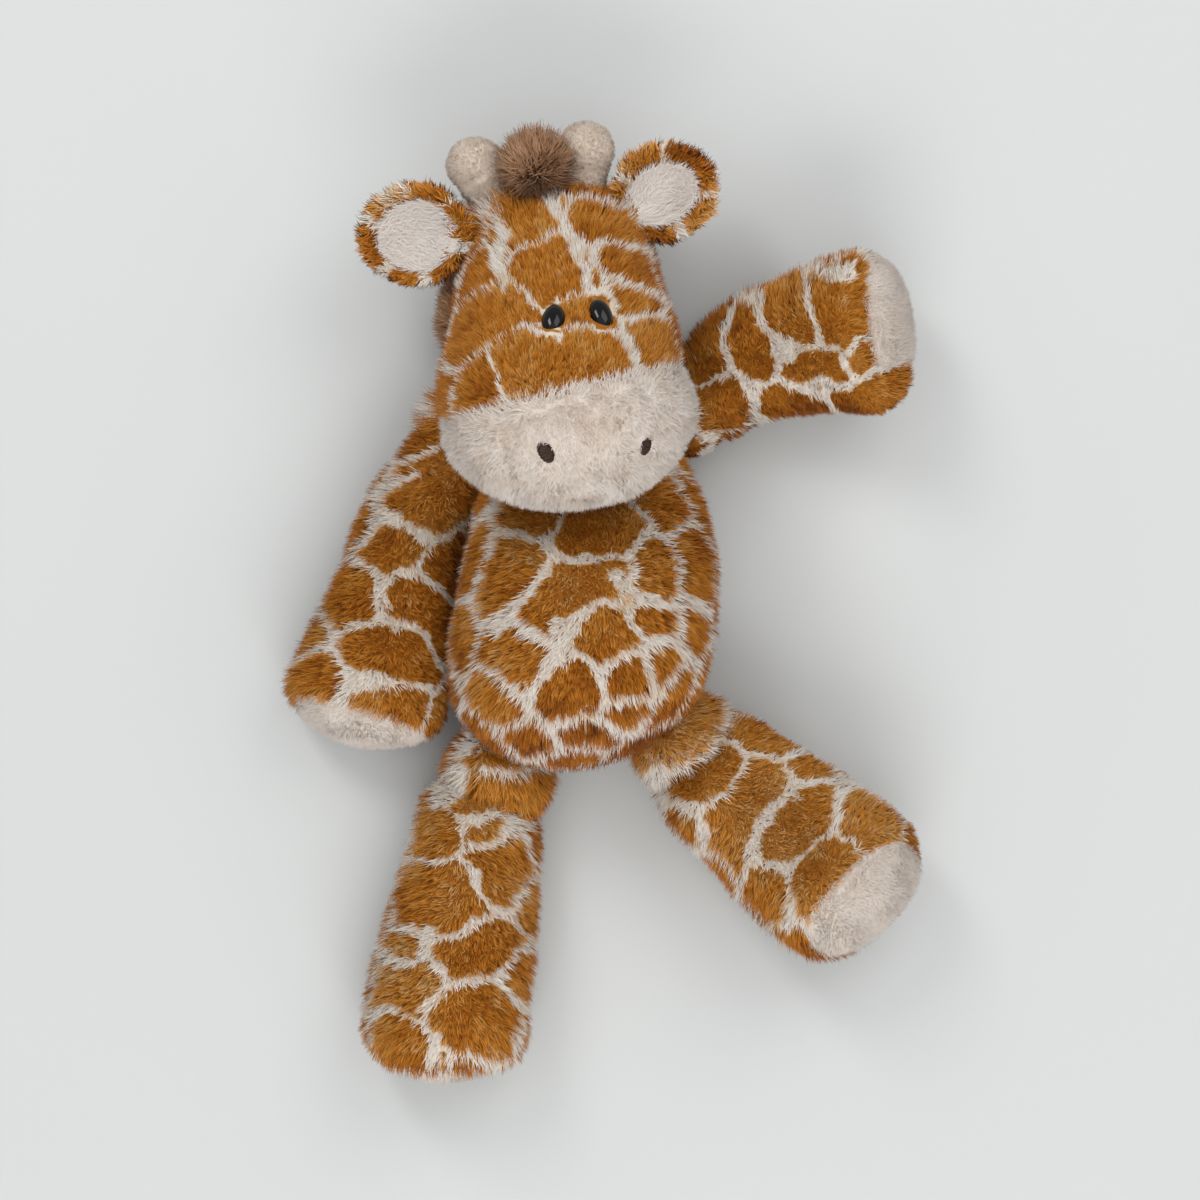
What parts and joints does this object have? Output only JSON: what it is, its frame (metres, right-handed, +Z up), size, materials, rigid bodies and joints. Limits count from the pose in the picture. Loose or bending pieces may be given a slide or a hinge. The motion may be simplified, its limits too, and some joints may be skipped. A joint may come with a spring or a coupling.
{
  "type": "plush giraffe",
  "caption": "Floppy stuffed giraffe toy lying on its back, with a pear-shaped body, hanging arms and legs, a broad pale muzzle, round ears and two knobbed horns.",
  "frame": {"origin": "on the flat of the body's back, on the surface that the toy lies on, below the belly", "axes": "+Z up from the floor through the belly, +Y towards the head, +X towards the viewer's right"},
  "size_m": [0.2176, 0.3332, 0.1143],
  "materials": {
    "spotted_plush": "long brushed pile, brown patches with cream lines",
    "cream_plush": "short cream pile",
    "horn_velour": "beige velour",
    "hair_plush": "long dark brown pile",
    "eye_plastic": "glossy black",
    "thread": "satin embroidery thread",
    "filling": "loose fibre",
    "washer_plastic": "matte"
  },
  "bodies": {
    "body": {"body_skin": "spotted_plush", "body_stuffing": "filling"},
    "neck": {"neck": "spotted_plush"},
    "head": {"head_skin": "spotted_plush", "muzzle": "cream_plush", "head_stuffing": "filling", "horn_left": "horn_velour", "horn_right": "horn_velour", "forelock": "hair_plush", "mane": "hair_plush", "eye_left": "eye_plastic", "eye_right": "eye_plastic", "eye_washer_left": "washer_plastic", "eye_washer_right": "washer_plastic", "nostril_left": "thread", "nostril_right": "thread"},
    "ear_left": {"ear_left_outer": "spotted_plush", "ear_left_lining": "cream_plush"},
    "ear_right": {"ear_right_outer": "spotted_plush", "ear_right_lining": "cream_plush"},
    "arm_left_root": {"arm_left_root": "spotted_plush"},
    "arm_left": {"arm_left_sleeve": "spotted_plush", "arm_left_pad": "cream_plush", "arm_left_stuffing": "filling"},
    "arm_right_root": {"arm_right_root": "spotted_plush"},
    "arm_right": {"arm_right_sleeve": "spotted_plush", "arm_right_pad": "cream_plush", "arm_right_stuffing": "filling"},
    "leg_left_root": {"leg_left_root": "spotted_plush"},
    "leg_left": {"leg_left_sleeve": "spotted_plush", "leg_left_pad": "cream_plush", "leg_left_stuffing": "filling"},
    "leg_right_root": {"leg_right_root": "spotted_plush"},
    "leg_right": {"leg_right_sleeve": "spotted_plush", "leg_right_pad": "cream_plush", "leg_right_stuffing": "filling"}
  },
  "joints": [
    {"name": "head_turn", "type": "hinge", "parent": "body", "child": "neck", "pos_m": [0.00549, 0.078, 0.02362], "axis": [0, 1, 0], "range_deg": [-20, 20]},
    {"name": "head_tilt", "type": "hinge", "parent": "neck", "child": "head", "pos_m": [0.00549, 0.078, 0.02362], "axis": [0, 0, 1], "range_deg": [-14, 14]},
    {"name": "arm_left_spread", "type": "hinge", "parent": "body", "child": "arm_left_root", "pos_m": [-0.03402, 0.06486, 0.0145], "axis": [0, 0, 1], "range_deg": [-88, 0]},
    {"name": "arm_left_lift", "type": "hinge", "parent": "arm_left_root", "child": "arm_left", "pos_m": [-0.03402, 0.06486, 0.0145], "axis": [-0.9291, 0.3697, 0], "range_deg": [0, 55]},
    {"name": "arm_right_spread", "type": "hinge", "parent": "body", "child": "arm_right_root", "pos_m": [0.04032, 0.07145, 0.0145], "axis": [0, 0, 1], "range_deg": [-75, 30]},
    {"name": "arm_right_lift", "type": "hinge", "parent": "arm_right_root", "child": "arm_right", "pos_m": [0.04032, 0.07145, 0.0145], "axis": [-0.3907, 0.9205, 0], "range_deg": [-55, 0]},
    {"name": "leg_left_spread", "type": "hinge", "parent": "body", "child": "leg_left_root", "pos_m": [-0.02764, -0.05581, 0.0195], "axis": [0, 0, 1], "range_deg": [-55, 15]},
    {"name": "leg_left_lift", "type": "hinge", "parent": "leg_left_root", "child": "leg_left", "pos_m": [-0.02764, -0.05581, 0.0195], "axis": [-0.9848, 0.1736, 0], "range_deg": [0, 72]},
    {"name": "leg_right_spread", "type": "hinge", "parent": "body", "child": "leg_right_root", "pos_m": [0.03923, -0.04377, 0.0195], "axis": [0, 0, 1], "range_deg": [-25, 50]},
    {"name": "leg_right_lift", "type": "hinge", "parent": "leg_right_root", "child": "leg_right", "pos_m": [0.03923, -0.04377, 0.0195], "axis": [0.6293, 0.7771, 0], "range_deg": [-66, 0]},
    {"name": "ear_left_flop", "type": "hinge", "parent": "head", "child": "ear_left", "pos_m": [-0.03898, 0.13327, 0.04213], "axis": [0.0523, -0.9986, 0], "range_deg": [-55, 35]},
    {"name": "ear_right_flop", "type": "hinge", "parent": "head", "child": "ear_right", "pos_m": [0.01998, 0.14147, 0.04214], "axis": [-0.454, 0.891, 0], "range_deg": [-55, 35]}
  ]
}
